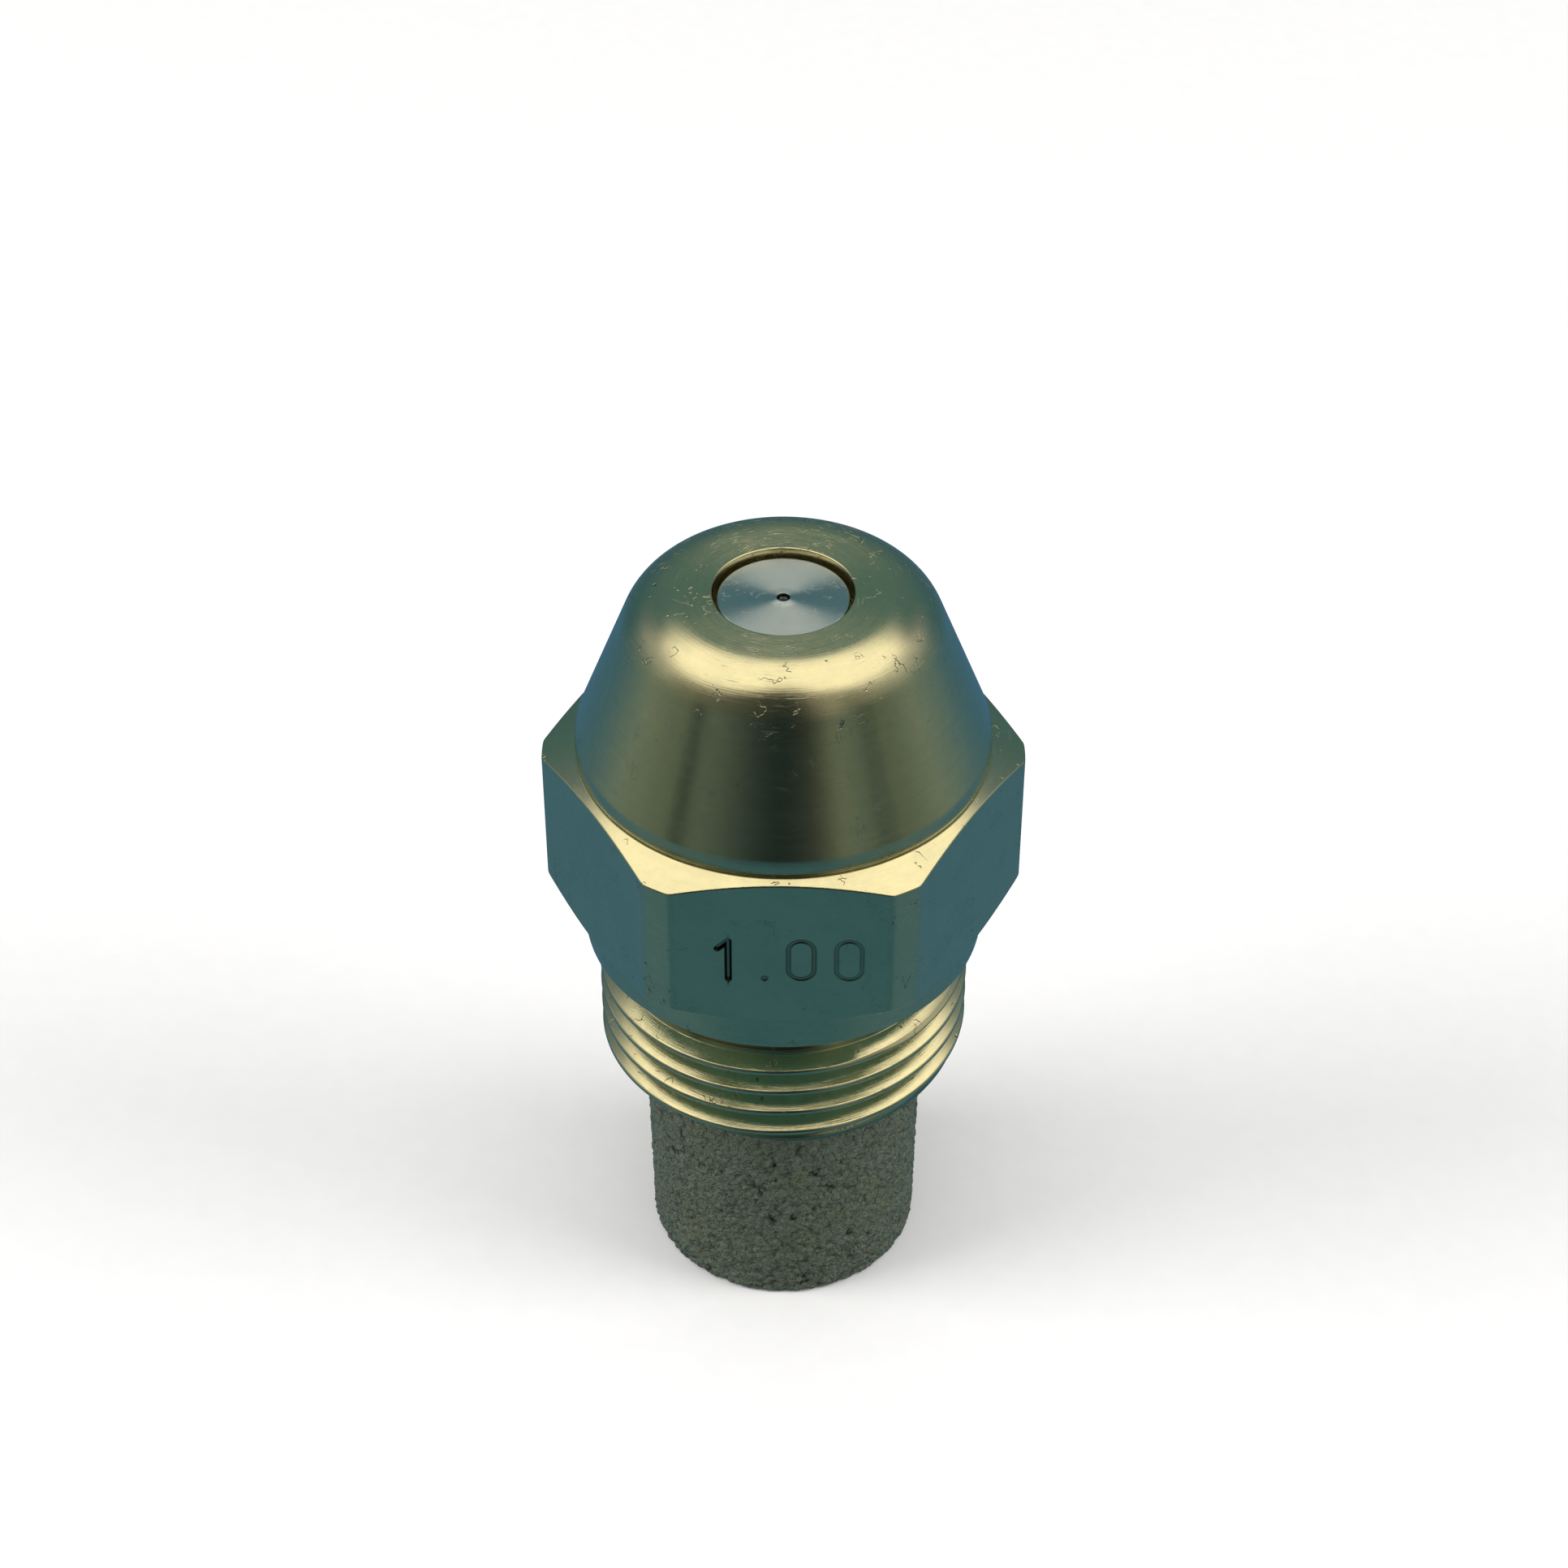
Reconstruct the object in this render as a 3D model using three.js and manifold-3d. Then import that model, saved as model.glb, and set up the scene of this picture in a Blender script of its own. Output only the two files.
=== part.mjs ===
// Oil burner nozzle: a brass hexagon body with a steel orifice disc, a swirl cone and a hollow lock screw
// inside it, and a sintered bronze filter cup on the screw's stem.
// Millimetres, +Z up. The origin is the centre of the filter's flat bottom, and one hexagon flat faces -Y.
import * as THREE from 'three';
import { mergeVertices } from 'three/addons/utils/BufferGeometryUtils.js';
import Module from 'manifold-3d';

const wasm = await Module();
wasm.setup();

// ---- Driving dimensions ----

const ROUND = 60;
const SMALL_ROUND = 40;

const HEX_ACROSS_FLATS = 16.0;
const HEX_TURNED_RADIUS = 8.94;
const HEX_BOTTOM = 18.4;
const HEX_TOP = 24.0;

const BODY_BOTTOM = 10.3;
const BODY_TOP = 31.4;
const COLLAR_RADIUS = 7.58;
const COLLAR_BOTTOM = 16.1;
const COLLAR_TOP = 17.6;
const RELIEF_RADIUS = 6.45;
const THREAD_END = 15.02;

const HEAD_BASE_RADIUS = 7.73;
const HEAD_BASE = 24.54;
const HEAD_FLAT_RADIUS = 3.81;
const SHOULDER_FILLET = 2.18;
const CONE_HALF_ANGLE = 20.9 * Math.PI / 180;

// 9/16-24 fine thread that screws into the nozzle holder
const OUTER_THREAD = { major: 7.11, minor: 6.46, pitch: 1.0583, crest: 0.14, root: 0.17, phase: 11.07 };

// M8 x 1 thread between the body and the lock screw
const SCREW_THREAD = { major: 3.95, minor: 3.42, pitch: 1.0, crest: 0.18, root: 0.19, phase: 0.25 };
const NUT_THREAD = { major: 4.1, minor: 3.57, pitch: 1.0, crest: 0.3, root: 0.07, phase: 0.25 };
const NUT_BOTTOM = 15.6;
const NUT_TOP = 20.3;
const SCREW_THREAD_BOTTOM = 16.2;
const SCREW_THREAD_TOP = 20.1;

const FILTER_POCKET_RADIUS = 5.75;
const FILTER_POCKET_TOP = 14.9;
const BORE_RADIUS = 3.65;
const DISC_SHOULDER = 29.6;
const HEAD_HOLE_RADIUS = 2.56;

const DISC_FACE = 31.1;
const DISC_NOSE_RADIUS = 2.38;
const DISC_FLANGE_RADIUS = 3.35;
const DISC_FLANGE_TOP = 29.35;
const DISC_BOTTOM = 26.9;
const DISC_SOCKET_RADIUS = 2.6;
const ORIFICE_RADIUS = 0.14;
const EXIT_RADIUS = 0.22;
const EXIT_DEPTH = 0.12;
const SEAT_APEX = 30.9;

const SWIRL_RADIUS = 2.3;
const SWIRL_BOTTOM = 24.1;
const SWIRL_GAP = 0.17;
const SWIRL_TIP_RADIUS = 0.45;
const SWIRL_SLOTS = 4;
const SWIRL_SLOT_WIDTH = 0.35;
const SWIRL_SLOT_DEPTH = 0.28;
const SWIRL_SLOT_OFFSET = 0.32;

const SCREW_BOTTOM = 9.0;
const SCREW_TOP = 23.85;
const SCREW_STEM_RADIUS = 3.6;
const SCREW_SHOULDER_RADIUS = 4.7;
const SCREW_SHOULDER_BOTTOM = 13.95;
const SCREW_SHOULDER_TOP = 14.5;
const SCREW_NECK_RADIUS = 3.35;
const SCREW_NOSE_RADIUS = 3.05;
const SCREW_BORE_RADIUS = 1.6;
const SCREW_BORE_TOP = 22.2;
const SCREW_OIL_HOLES = 4;
const SCREW_OIL_HOLE_RADIUS = 0.6;
const SCREW_OIL_HOLE_HEIGHT = 21.7;
const DRIVER_SLOT_WIDTH = 1.4;
const DRIVER_SLOT_DEPTH = 1.8;

const FILTER_BOTTOM_RADIUS = 5.3;
const FILTER_TOP_RADIUS = 5.52;
const FILTER_TOP = 13.7;
const FILTER_BORE_RADIUS = 3.78;
const FILTER_FLOOR = 2.0;

// Size number stamped in the front flat: [character, centre x]
const STAMP = [['1', -1.95], ['.', -0.65], ['0', 0.66], ['0', 2.4]];
const STAMP_HEIGHT = 2.0;
const STAMP_WIDTH = 1.15;
const STAMP_STROKE = 0.2;
const STAMP_DEPTH = 0.15;
const STAMP_CENTRE_HEIGHT = 20.9;

// ---- Solids from geometry ----

// Merges a geometry's shared corners, drops faces with no area and returns a solid that faces outward.
function solid(geometry) {
  const bare = new THREE.BufferGeometry();
  bare.setAttribute('position', geometry.getAttribute('position').clone());
  bare.setIndex(geometry.getIndex());
  const merged = mergeVertices(bare, 1e-5);
  const index = merged.getIndex().array;
  const triangles = [];
  for (let i = 0; i < index.length; i += 3) {
    const [a, b, c] = [index[i], index[i + 1], index[i + 2]];
    if (a !== b && b !== c && c !== a) triangles.push(a, b, c);
  }
  return new wasm.Manifold(new wasm.Mesh({
    numProp: 3,
    vertProperties: merged.getAttribute('position').array,
    triVerts: new Uint32Array(triangles),
  }));
}

// Turns a closed profile about Z. Its [radius, height] points run anticlockwise, radius to the right.
function turned(profile, segments = ROUND) {
  const points = [...profile, profile[0]].map(([radius, height]) => new THREE.Vector2(radius, height));
  return solid(new THREE.LatheGeometry(points, segments).rotateX(Math.PI / 2));
}

// Points along an arc, from one angle to another in radians, both ends included.
function arc(centreRadius, centreHeight, radius, from, to, steps) {
  const points = [];
  for (let i = 0; i <= steps; i += 1) {
    const angle = from + (to - from) * i / steps;
    points.push([centreRadius + radius * Math.cos(angle), centreHeight + radius * Math.sin(angle)]);
  }
  return points;
}

// A right-handed threaded rod that overshoots both heights. Its crest is centred on the thread's phase
// height at the front, -Y, and on every whole pitch from there.
function threadedRod(thread, from, to, segments) {
  const { major, minor, pitch, crest, root, phase } = thread;
  const flank = (pitch - crest - root) / 2;
  const rows = [
    [minor, -crest / 2 - flank - root],
    [minor, -crest / 2 - flank],
    [major, -crest / 2],
    [major, crest / 2],
  ];
  const start = phase + pitch * (Math.floor((from - phase) / pitch) - 1);
  const turns = Math.ceil((to - start) / pitch) + 1;
  const rowCount = turns * rows.length;
  const positions = [];
  for (let row = 0; row <= rowCount + rows.length; row += 1) {
    const [radius, offset] = rows[row % rows.length];
    const height = start + offset + pitch * Math.floor(row / rows.length);
    for (let s = 0; s < segments; s += 1) {
      const angle = 2 * Math.PI * s / segments;
      positions.push(radius * Math.sin(angle), -radius * Math.cos(angle), height + pitch * s / segments);
    }
  }
  const corner = (row, s) => s < segments ? row * segments + s : (row + rows.length) * segments;
  const bottomCentre = positions.length / 3;
  positions.push(0, 0, start - pitch);
  const topCentre = bottomCentre + 1;
  positions.push(0, 0, start + pitch * (turns + 2));
  const index = [];
  for (let s = 0; s < segments; s += 1) {
    for (let row = 0; row < rowCount; row += 1) {
      index.push(corner(row, s), corner(row, s + 1), corner(row + 1, s + 1));
      index.push(corner(row, s), corner(row + 1, s + 1), corner(row + 1, s));
    }
    index.push(bottomCentre, corner(0, s + 1), corner(0, s));
    index.push(topCentre, corner(rowCount, s), corner(rowCount, s + 1));
  }
  for (let row = 0; row < rows.length; row += 1) {
    index.push(bottomCentre, corner(row, 0), corner(row + 1, 0));
    index.push(topCentre, corner(rowCount + row + 1, 0), corner(rowCount + row, 0));
  }
  const geometry = new THREE.BufferGeometry();
  geometry.setAttribute('position', new THREE.Float32BufferAttribute(positions, 3));
  geometry.setIndex(index);
  return solid(geometry);
}

// A flat outline in X and Z, extruded from the front flat's surface into the body.
function frontCutter(shape) {
  const cutter = new THREE.ExtrudeGeometry(shape, { depth: 2 * STAMP_DEPTH, bevelEnabled: false, curveSegments: 8 });
  cutter.rotateX(Math.PI / 2);
  cutter.translate(0, STAMP_DEPTH - HEX_ACROSS_FLATS / 2, 0);
  return solid(cutter);
}

function box(width, depth, height) {
  return new THREE.BoxGeometry(width, depth, height);
}

// ---- Sub-parts ----

function stampedCharacter(character, x) {
  const z = STAMP_CENTRE_HEIGHT;
  const half = STAMP_HEIGHT / 2;
  const shape = new THREE.Shape();
  if (character === '1') {
    shape.moveTo(x - STAMP_STROKE / 2, z - half);
    shape.lineTo(x + STAMP_STROKE / 2, z - half);
    shape.lineTo(x + STAMP_STROKE / 2, z + half);
    shape.lineTo(x - STAMP_STROKE / 2, z + half);
    shape.lineTo(x - STAMP_STROKE * 2.2, z + half - STAMP_STROKE * 2);
    shape.lineTo(x - STAMP_STROKE * 1.6, z + half - STAMP_STROKE * 2.6);
    shape.lineTo(x - STAMP_STROKE / 2, z + half - STAMP_STROKE * 1.5);
    shape.closePath();
  } else if (character === '.') {
    shape.absarc(x, z - half + STAMP_STROKE * 0.6, STAMP_STROKE * 0.6, 0, 2 * Math.PI, false);
  } else {
    shape.absellipse(x, z, STAMP_WIDTH / 2, half, 0, 2 * Math.PI, false, 0);
    const hole = new THREE.Path();
    hole.absellipse(x, z, STAMP_WIDTH / 2 - STAMP_STROKE, half - STAMP_STROKE, 0, 2 * Math.PI, true, 0);
    shape.holes.push(hole);
  }
  return frontCutter(shape);
}

function bodyOutside() {
  const coneFoot = HEAD_BASE + 0.69;
  const filletHeight = BODY_TOP - SHOULDER_FILLET;
  const upper = turned([
    [0, COLLAR_BOTTOM],
    [COLLAR_RADIUS - 0.1, COLLAR_BOTTOM],
    [COLLAR_RADIUS, COLLAR_BOTTOM + 0.1],
    [COLLAR_RADIUS, COLLAR_TOP],
    [HEX_TURNED_RADIUS, HEX_BOTTOM],
    [HEX_TURNED_RADIUS, HEX_TOP],
    [HEAD_BASE_RADIUS, HEAD_BASE],
    [HEAD_BASE_RADIUS - 0.12, HEAD_BASE + 0.02],
    [HEAD_BASE_RADIUS - 0.12, HEAD_BASE + 0.1],
    [HEAD_BASE_RADIUS - 0.03, HEAD_BASE + 0.14],
    [HEAD_BASE_RADIUS - 0.06, coneFoot],
    ...arc(HEAD_FLAT_RADIUS, filletHeight, SHOULDER_FILLET, CONE_HALF_ANGLE, Math.PI / 2, 6),
    [0, BODY_TOP],
  ]);
  const hexagon = solid(
    new THREE.CylinderGeometry(HEX_ACROSS_FLATS / Math.sqrt(3), HEX_ACROSS_FLATS / Math.sqrt(3), 20, 6)
      .rotateX(Math.PI / 2)
      .rotateZ(Math.PI / 6)
      .translate(0, 0, COLLAR_BOTTOM + 9),
  );
  const relief = turned([
    [0, THREAD_END - 0.2],
    [RELIEF_RADIUS, THREAD_END - 0.2],
    [RELIEF_RADIUS, COLLAR_BOTTOM + 0.2],
    [0, COLLAR_BOTTOM + 0.2],
  ]);
  const clearOfThread = OUTER_THREAD.major + 0.1;
  const threadEnvelope = turned([
    [0, BODY_BOTTOM],
    [OUTER_THREAD.minor + 0.25, BODY_BOTTOM],
    [clearOfThread, BODY_BOTTOM + 0.35],
    [clearOfThread, THREAD_END - (clearOfThread - RELIEF_RADIUS)],
    [RELIEF_RADIUS, THREAD_END],
    [0, THREAD_END],
  ]);
  const thread = threadedRod(OUTER_THREAD, BODY_BOTTOM, THREAD_END, ROUND).intersect(threadEnvelope);
  return upper.intersect(hexagon).add(relief).add(thread);
}

function bodyInside() {
  const bore = turned([
    [0, BODY_BOTTOM - 1],
    [FILTER_POCKET_RADIUS, BODY_BOTTOM - 1],
    [FILTER_POCKET_RADIUS, FILTER_POCKET_TOP],
    [NUT_THREAD.major + 0.05, FILTER_POCKET_TOP],
    [NUT_THREAD.minor, NUT_BOTTOM],
    [NUT_THREAD.minor, NUT_TOP - 0.2],
    [BORE_RADIUS, NUT_TOP],
    [BORE_RADIUS, DISC_SHOULDER],
    [HEAD_HOLE_RADIUS, DISC_SHOULDER],
    [HEAD_HOLE_RADIUS, BODY_TOP + 1],
    [0, BODY_TOP + 1],
  ], SMALL_ROUND);
  const threadEnvelope = turned([
    [0, FILTER_POCKET_TOP],
    [NUT_THREAD.major + 0.05, FILTER_POCKET_TOP],
    [NUT_THREAD.major + 0.05, NUT_TOP],
    [0, NUT_TOP],
  ], SMALL_ROUND);
  const thread = threadedRod(NUT_THREAD, FILTER_POCKET_TOP, NUT_TOP, SMALL_ROUND).intersect(threadEnvelope);
  return bore.add(thread);
}

function nozzleBody() {
  let body = bodyOutside().subtract(bodyInside());
  for (const [character, x] of STAMP) {
    body = body.subtract(stampedCharacter(character, x));
  }
  return body;
}

function orificeDisc() {
  return turned([
    [DISC_SOCKET_RADIUS, DISC_BOTTOM],
    [DISC_FLANGE_RADIUS, DISC_BOTTOM],
    [DISC_FLANGE_RADIUS, DISC_FLANGE_TOP],
    [DISC_NOSE_RADIUS, DISC_FLANGE_TOP],
    [DISC_NOSE_RADIUS, DISC_FACE - 0.08],
    [DISC_NOSE_RADIUS - 0.08, DISC_FACE],
    [EXIT_RADIUS, DISC_FACE],
    [ORIFICE_RADIUS, DISC_FACE - EXIT_DEPTH],
    [ORIFICE_RADIUS, DISC_FACE - 0.34],
    [0.6, DISC_FACE - 0.55],
    [0.6, SEAT_APEX - 0.6],
    [DISC_SOCKET_RADIUS, SEAT_APEX - DISC_SOCKET_RADIUS],
  ], SMALL_ROUND);
}

function swirlCone() {
  const apex = SEAT_APEX - SWIRL_GAP;
  let cone = turned([
    [0, SWIRL_BOTTOM],
    [SWIRL_RADIUS - 0.2, SWIRL_BOTTOM],
    [SWIRL_RADIUS, SWIRL_BOTTOM + 0.2],
    [SWIRL_RADIUS, apex - SWIRL_RADIUS],
    [SWIRL_TIP_RADIUS, apex - SWIRL_TIP_RADIUS],
    [0, apex - SWIRL_TIP_RADIUS],
  ], SMALL_ROUND);
  for (let i = 0; i < SWIRL_SLOTS; i += 1) {
    const slot = box(4, SWIRL_SLOT_WIDTH, 2 * SWIRL_SLOT_DEPTH)
      .rotateY(Math.PI / 4)
      .translate(1.5, SWIRL_SLOT_OFFSET, apex - 1.5)
      .rotateZ(2 * Math.PI * (i + 0.5) / SWIRL_SLOTS);
    cone = cone.subtract(solid(slot));
  }
  return cone;
}

function lockScrew() {
  const stem = turned([
    [0, SCREW_BOTTOM],
    [SCREW_STEM_RADIUS - 0.3, SCREW_BOTTOM],
    [SCREW_STEM_RADIUS, SCREW_BOTTOM + 0.3],
    [SCREW_STEM_RADIUS, SCREW_SHOULDER_BOTTOM],
    [SCREW_SHOULDER_RADIUS, SCREW_SHOULDER_BOTTOM],
    [SCREW_SHOULDER_RADIUS, SCREW_SHOULDER_TOP],
    [SCREW_NECK_RADIUS, SCREW_SHOULDER_TOP],
    [SCREW_NECK_RADIUS, SCREW_THREAD_BOTTOM + 0.2],
    [0, SCREW_THREAD_BOTTOM + 0.2],
  ], SMALL_ROUND);
  const nose = turned([
    [0, SCREW_THREAD_TOP - 0.2],
    [SCREW_NOSE_RADIUS, SCREW_THREAD_TOP - 0.2],
    [SCREW_NOSE_RADIUS, SCREW_TOP - 0.3],
    [SCREW_NOSE_RADIUS - 0.3, SCREW_TOP],
    [0, SCREW_TOP],
  ], SMALL_ROUND);
  const threadEnvelope = turned([
    [0, SCREW_THREAD_BOTTOM],
    [SCREW_NECK_RADIUS, SCREW_THREAD_BOTTOM],
    [SCREW_THREAD.major + 0.1, SCREW_THREAD_BOTTOM + 0.5],
    [SCREW_THREAD.major + 0.1, SCREW_THREAD_TOP - 0.5],
    [SCREW_NECK_RADIUS, SCREW_THREAD_TOP],
    [0, SCREW_THREAD_TOP],
  ], SMALL_ROUND);
  const thread = threadedRod(SCREW_THREAD, SCREW_THREAD_BOTTOM, SCREW_THREAD_TOP, SMALL_ROUND)
    .intersect(threadEnvelope);
  const bore = turned([
    [0, SCREW_BOTTOM - 1],
    [SCREW_BORE_RADIUS, SCREW_BOTTOM - 1],
    [SCREW_BORE_RADIUS, SCREW_BORE_TOP],
    [0, SCREW_BORE_TOP + SCREW_BORE_RADIUS / 2],
  ], 24);
  let screw = stem.add(thread).add(nose).subtract(bore);
  for (let i = 0; i < SCREW_OIL_HOLES / 2; i += 1) {
    const drill = new THREE.CylinderGeometry(SCREW_OIL_HOLE_RADIUS, SCREW_OIL_HOLE_RADIUS, 9, 16)
      .rotateZ(Math.PI * i / (SCREW_OIL_HOLES / 2))
      .translate(0, 0, SCREW_OIL_HOLE_HEIGHT);
    screw = screw.subtract(solid(drill));
  }
  const driverSlot = box(2 * SCREW_STEM_RADIUS + 1, DRIVER_SLOT_WIDTH, 2 * DRIVER_SLOT_DEPTH)
    .translate(0, 0, SCREW_BOTTOM);
  return screw.subtract(solid(driverSlot));
}

function filterCup() {
  return turned([
    [0, 0],
    [FILTER_BOTTOM_RADIUS - 0.12, 0],
    [FILTER_BOTTOM_RADIUS, 0.12],
    [FILTER_TOP_RADIUS, FILTER_TOP - 0.1],
    [FILTER_TOP_RADIUS - 0.1, FILTER_TOP],
    [FILTER_BORE_RADIUS + 0.15, FILTER_TOP],
    [FILTER_BORE_RADIUS, FILTER_TOP - 0.15],
    [FILTER_BORE_RADIUS, FILTER_FLOOR + 0.8],
    ...arc(FILTER_BORE_RADIUS - 0.8, FILTER_FLOOR + 0.8, 0.8, 0, -Math.PI / 2, 3).slice(1),
    [0, FILTER_FLOOR],
  ]);
}

// ---- Assembly ----

function piece(name, body, colour, roughness, metalness) {
  const mesh = body.getMesh();
  const geometry = new THREE.BufferGeometry();
  geometry.setAttribute('position', new THREE.Float32BufferAttribute(mesh.vertProperties, 3));
  geometry.setIndex(Array.from(mesh.triVerts));
  const faceted = geometry.toNonIndexed();
  faceted.computeVertexNormals();
  const result = new THREE.Mesh(faceted, new THREE.MeshStandardMaterial({ color: colour, roughness, metalness }));
  result.name = name;
  return result;
}

const nozzle = new THREE.Group();
nozzle.name = 'oil_burner_nozzle';
nozzle.add(piece('nozzle_body', nozzleBody(), 0xb79a55, 0.28, 1));
nozzle.add(piece('orifice_disc', orificeDisc(), 0xb9bec2, 0.3, 1));
nozzle.add(piece('swirl_cone', swirlCone(), 0xa3a8ad, 0.35, 1));
nozzle.add(piece('lock_screw', lockScrew(), 0xc0a45f, 0.32, 1));
nozzle.add(piece('filter_cup', filterCup(), 0x8c7f62, 0.75, 0.8));

export default nozzle;
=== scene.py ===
"""Looks of the oil burner nozzle: a detailed piece for each CAD node, on a pale floor under studio light."""

import math

import bmesh
import bpy
import numpy as np
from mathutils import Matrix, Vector, geometry, kdtree


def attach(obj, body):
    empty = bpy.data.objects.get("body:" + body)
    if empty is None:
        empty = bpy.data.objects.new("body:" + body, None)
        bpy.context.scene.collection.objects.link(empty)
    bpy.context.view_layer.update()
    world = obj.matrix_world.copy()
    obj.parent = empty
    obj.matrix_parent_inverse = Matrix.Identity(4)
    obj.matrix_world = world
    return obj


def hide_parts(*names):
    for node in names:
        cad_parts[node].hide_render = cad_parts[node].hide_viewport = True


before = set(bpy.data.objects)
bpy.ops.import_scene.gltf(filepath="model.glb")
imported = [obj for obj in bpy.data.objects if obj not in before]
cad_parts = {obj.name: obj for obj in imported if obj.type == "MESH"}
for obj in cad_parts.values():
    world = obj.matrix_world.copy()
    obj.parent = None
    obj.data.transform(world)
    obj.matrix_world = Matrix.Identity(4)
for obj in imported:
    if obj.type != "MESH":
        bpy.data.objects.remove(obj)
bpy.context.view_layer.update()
MM = 0.001
TURN = 2 * math.pi

# ---- Sizes in millimetres, as in the CAD part ----

HEX_FLAT = 8.0
HEX_CORNER = 8.94
HEX_TOP = 24.0
COLLAR_RADIUS = 7.58
COLLAR_TOP = 17.6
RELIEF_RADIUS = 6.45
BODY_BOTTOM = 10.3
BODY_TOP = 31.4
CONE_FOOT = (7.665, 25.23)
CONE_TOP = (5.846, 29.998)
SHOULDER_RADIUS = 2.18
TIP_FLAT_RADIUS = 3.81
POCKET_RADIUS = 5.75
POCKET_TOP = 14.9
NUT_BOTTOM = 15.1
NUT_TOP = 20.3
BORE_RADIUS = 3.65
BORE_TOP = 29.6
HOLE_RADIUS = 2.56
THREAD_END = 15.02
THREAD_TOP = 15.3
SCREW_THREAD_BOTTOM = 16.25
SCREW_THREAD_TOP = 20.05
SWIRL_APEX = 30.73
FILTER_RADIUS = 5.3
FILTER_TAPER = 0.016
FILTER_TOP = 13.7

# The outer thread's flats at crest and root are a little wider than the CAD's, as its edges are rounded.
OUTER_THREAD = {"major": 7.11, "minor": 6.46, "pitch": 1.0583, "crest": 0.17, "root": 0.24, "phase": 11.07}
NUT_THREAD = {"major": 4.1, "minor": 3.57, "pitch": 1.0, "crest": 0.3, "root": 0.07, "phase": 0.25}
SCREW_THREAD = {"major": 3.95, "minor": 3.42, "pitch": 1.0, "crest": 0.18, "root": 0.19, "phase": 0.25}
# How fast a thread's first and last edges widen, as radius over height.
LEAD_SLOPE = 1.4

STAMP_HEIGHT = 20.9
STAMP_WINDOW = {"reach": 3.2, "low": 19.6, "high": 22.2, "margin": 0.1}


# ---- Mesh helpers ----

def smooth_object(name, verts, faces, attributes=None, finishes=None):
    """A smooth-shaded object from millimetre points and faces, doubled points merged and faces turned out.

    attributes holds named point values, and finishes each face's material number."""
    mesh = bpy.data.meshes.new(name)
    mesh.from_pydata((np.asarray(verts) * MM).tolist(), [], faces)
    if finishes is not None:
        mesh.polygons.foreach_set("material_index", np.asarray(finishes, dtype=np.int32))
    for key, values in (attributes or {}).items():
        layer = mesh.attributes.new(key, "FLOAT", "POINT")
        layer.data.foreach_set("value", np.asarray(values, dtype=np.float32))
    bm = bmesh.new()
    bm.from_mesh(mesh)
    bmesh.ops.remove_doubles(bm, verts=bm.verts, dist=2e-7)
    bmesh.ops.dissolve_degenerate(bm, edges=bm.edges, dist=1e-8)
    if bm.calc_volume(signed=True) < 0:
        bmesh.ops.reverse_faces(bm, faces=bm.faces)
    bm.to_mesh(mesh)
    bm.free()
    mesh.shade_smooth()
    piece = bpy.data.objects.new(name, mesh)
    bpy.context.scene.collection.objects.link(piece)
    return piece


def fillet(points, radii, steps=3, support=0.04):
    """An open outline with rounded corners, and points beside each corner that keep the straights flat."""
    points = np.asarray(points, dtype=float)
    result = [points[0]]
    for i in range(1, len(points) - 1):
        before, corner, after = points[i - 1], points[i], points[i + 1]
        to_before, to_after = before - corner, after - corner
        length_before, length_after = np.linalg.norm(to_before), np.linalg.norm(to_after)
        to_before, to_after = to_before / length_before, to_after / length_after
        reach = min(radii[i], 0.4 * length_before, 0.4 * length_after)
        margin_before = min(reach + support, 0.47 * length_before)
        margin_after = min(reach + support, 0.47 * length_after)
        result.append(corner + to_before * margin_before)
        start, end = corner + to_before * reach, corner + to_after * reach
        for step in range(steps + 1):
            s = step / steps
            result.append((1 - s) ** 2 * start + 2 * s * (1 - s) * corner + s * s * end)
        result.append(corner + to_after * margin_after)
    result.append(points[-1])
    return np.array(result)


def grid_faces(rows, columns):
    """Quads of a grid of points whose columns don't wrap."""
    faces = []
    for i in range(rows - 1):
        for j in range(columns - 1):
            a = i * columns + j
            faces.append((a, a + 1, a + 1 + columns, a + columns))
    return faces


def around(angles, profiles):
    """Points of a surface turned about Z: profiles holds [radius, height] rows, one set for each angle."""
    radius, height = profiles[..., 0], profiles[..., 1]
    return np.stack([radius * np.cos(angles), radius * np.sin(angles), height], axis=-1)


def turned_rows(angles, points):
    """The same outline at every angle, as rows of points."""
    points = np.asarray(points, dtype=float)
    return around(angles[None, :], np.repeat(points[:, None, :], len(angles), axis=1))


def thread_outline(thread):
    """One pitch of a thread's outline as [offset, radius], from the middle of one groove to the next."""
    flank = (thread["pitch"] - thread["crest"] - thread["root"]) / 2
    half = thread["crest"] / 2
    return [
        [-thread["pitch"] / 2, thread["minor"]],
        [-half - flank, thread["minor"]],
        [-half, thread["major"]],
        [half, thread["major"]],
        [half + flank, thread["minor"]],
        [thread["pitch"] / 2, thread["minor"]],
    ]


def helix_rows(angles, thread, low, high, corner, steps, shape):
    """Rows that climb with a right-handed thread from height low to high, over one turn from the back.

    shape limits the radii by their heights."""
    pitch = thread["pitch"]
    rounded = fillet(thread_outline(thread), [0, corner, corner, corner, corner, 0], steps, 0.02)[:-1]
    climb = (angles - angles[0]) / TURN * pitch
    seam = thread["phase"] - pitch / 2
    turns = range(math.floor((low - seam) / pitch) - 2, math.ceil((high - seam) / pitch) + 2)
    heights = [seam + turn * pitch + offset + climb for turn in turns for offset in rounded[:, 0]]
    heights = np.clip(heights, low, high)
    within = (heights - seam - climb + pitch / 2) % pitch - pitch / 2
    offsets = np.append(rounded[:, 0], rounded[0, 0] + pitch)
    levels = np.append(rounded[:, 1], rounded[0, 1])
    radii = shape(np.interp(within, offsets, levels), heights)
    return around(angles, np.stack([radii, heights], axis=-1))


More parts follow.
